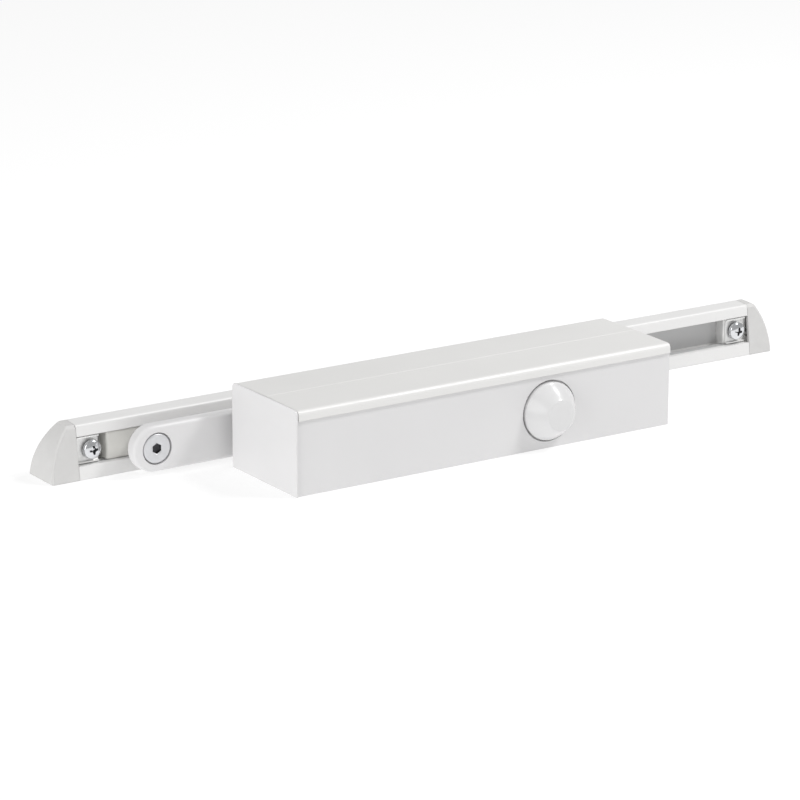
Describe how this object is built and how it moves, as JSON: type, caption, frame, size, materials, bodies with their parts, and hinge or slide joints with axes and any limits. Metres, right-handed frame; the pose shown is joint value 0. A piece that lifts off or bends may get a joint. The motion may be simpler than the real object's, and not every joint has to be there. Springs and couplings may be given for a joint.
{
  "type": "door closer",
  "caption": "Slide-rail door closer: rack-and-pinion casing with a clip-on cover, a flat swing arm, a slider and a guide rail with end caps.",
  "frame": {"origin": "centre of the casing's four fixing holes, on the face that is screwed to the door", "axes": "+Z away from the door, +X along the casing and the rail, +Y from the casing towards the rail"},
  "size_m": [0.4707, 0.1204, 0.046],
  "materials": {
    "white_paint": "smooth satin white powder coat",
    "white_cover": "satin white powder coat",
    "rail_paint": "satin white coat on extruded aluminium",
    "white_plastic": "smooth white moulded plastic",
    "cap_plastic": "fine matt light grey moulded plastic",
    "machined_steel": "machined",
    "spring_steel": "oiled spring steel",
    "bronze": "sintered",
    "brass": "turned",
    "rubber": "smooth",
    "zinc_screw": "bright zinc plated, matt",
    "slider_plastic": "natural moulded plastic",
    "zinc_plate": "zinc plated, pressed",
    "chrome_screw": "polished",
    "dark_steel": "blackened"
  },
  "bodies": {
    "casing": {"housing": "white_paint", "left_end_plate": "white_paint", "right_end_plate": "white_paint", "left_end_plug": "machined_steel", "right_end_plug": "machined_steel", "plug_seals": "rubber", "front_bearing": "bronze", "rear_bearing": "bronze", "shaft_seals": "rubber", "front_bearing_nut": "machined_steel", "rear_bearing_nut": "machined_steel", "channel_plugs": "machined_steel"},
    "cover": {"top_cover": "white_cover"},
    "end_cover": {"spindle_cap": "white_plastic"},
    "swing_arm": {"arm": "white_paint", "pinion_spindle": "machined_steel", "arm_screw": "zinc_screw", "arm_washer": "zinc_screw", "pivot_stud": "machined_steel", "pivot_screw": "zinc_screw"},
    "piston_set": {"piston": "machined_steel", "check_valve_seat": "machined_steel", "check_valve_ball": "machined_steel", "main_spring": "spring_steel"},
    "preload_plate": {"spring_plate": "machined_steel"},
    "adjuster": {"spring_adjuster": "machined_steel"},
    "closing_valve": {"closing_speed_valve": "brass", "closing_valve_seal": "rubber"},
    "latching_valve": {"latching_speed_valve": "brass", "latching_valve_seal": "rubber"},
    "slide_block": {"slider": "slider_plastic"},
    "guide_rail": {"rail": "rail_paint", "left_fixing_block": "zinc_plate", "right_fixing_block": "zinc_plate", "left_clamp_plate": "zinc_plate", "right_clamp_plate": "zinc_plate", "clamp_screws": "chrome_screw", "clamp_washers": "dark_steel"},
    "left_cap": {"left_rail_cap": "cap_plastic"},
    "right_cap": {"right_rail_cap": "cap_plastic"}
  },
  "joints": [
    {"name": "arm_swing", "type": "hinge", "parent": "casing", "child": "swing_arm", "pos_m": [0.04, 0, 0.0205], "axis": [0, 1, 0], "range_deg": [0, 130], "stiffness_Nm_per_rad": 4, "springref_deg": -68.75},
    {"name": "piston_travel", "type": "slide", "parent": "casing", "child": "piston_set", "axis": [-1, 0, 0], "range_m": [0, 0.0205], "deforming": ["main_spring"]},
    {"name": "slider_pivot", "type": "hinge", "parent": "swing_arm", "child": "slide_block", "pos_m": [-0.159, 0.0612, 0.0149], "axis": [0, 1, 0], "continuous": true},
    {"name": "rail_travel", "type": "slide", "parent": "slide_block", "child": "guide_rail", "axis": [-1, 0, 0], "range_m": [-0.0045, 0.3655]},
    {"name": "adjuster_turn", "type": "hinge", "parent": "casing", "child": "adjuster", "pos_m": [-0.1168, 0, 0.0205], "axis": [1, 0, 0], "range_deg": [0, 3600]},
    {"name": "preload_travel", "type": "slide", "parent": "casing", "child": "preload_plate", "axis": [1, 0, 0], "range_m": [0, 0.015]},
    {"name": "closing_valve_turn", "type": "hinge", "parent": "casing", "child": "closing_valve", "pos_m": [0.066, -0.0165, 0.0434], "axis": [0, 0, 1], "range_deg": [0, 540]},
    {"name": "latching_valve_turn", "type": "hinge", "parent": "casing", "child": "latching_valve", "pos_m": [0.082, -0.0165, 0.0434], "axis": [0, 0, 1], "range_deg": [0, 540]},
    {"name": "cover_lift", "type": "slide", "parent": "casing", "child": "cover", "axis": [0, 0, 1], "range_m": [0, 0.06]},
    {"name": "spindle_cap_pull", "type": "slide", "parent": "casing", "child": "end_cover", "axis": [0, -1, 0], "range_m": [0, 0.03]},
    {"name": "left_cap_pull", "type": "slide", "parent": "guide_rail", "child": "left_cap", "axis": [-1, 0, 0], "range_m": [0, 0.03]},
    {"name": "right_cap_pull", "type": "slide", "parent": "guide_rail", "child": "right_cap", "axis": [1, 0, 0], "range_m": [0, 0.03]}
  ],
  "couplings": [
    {"joint": "piston_travel", "follows": "arm_swing", "m_per_rad": 0.009},
    {"joint": "adjuster_turn", "follows": "preload_travel", "rad_per_m": 4188.8}
  ]
}
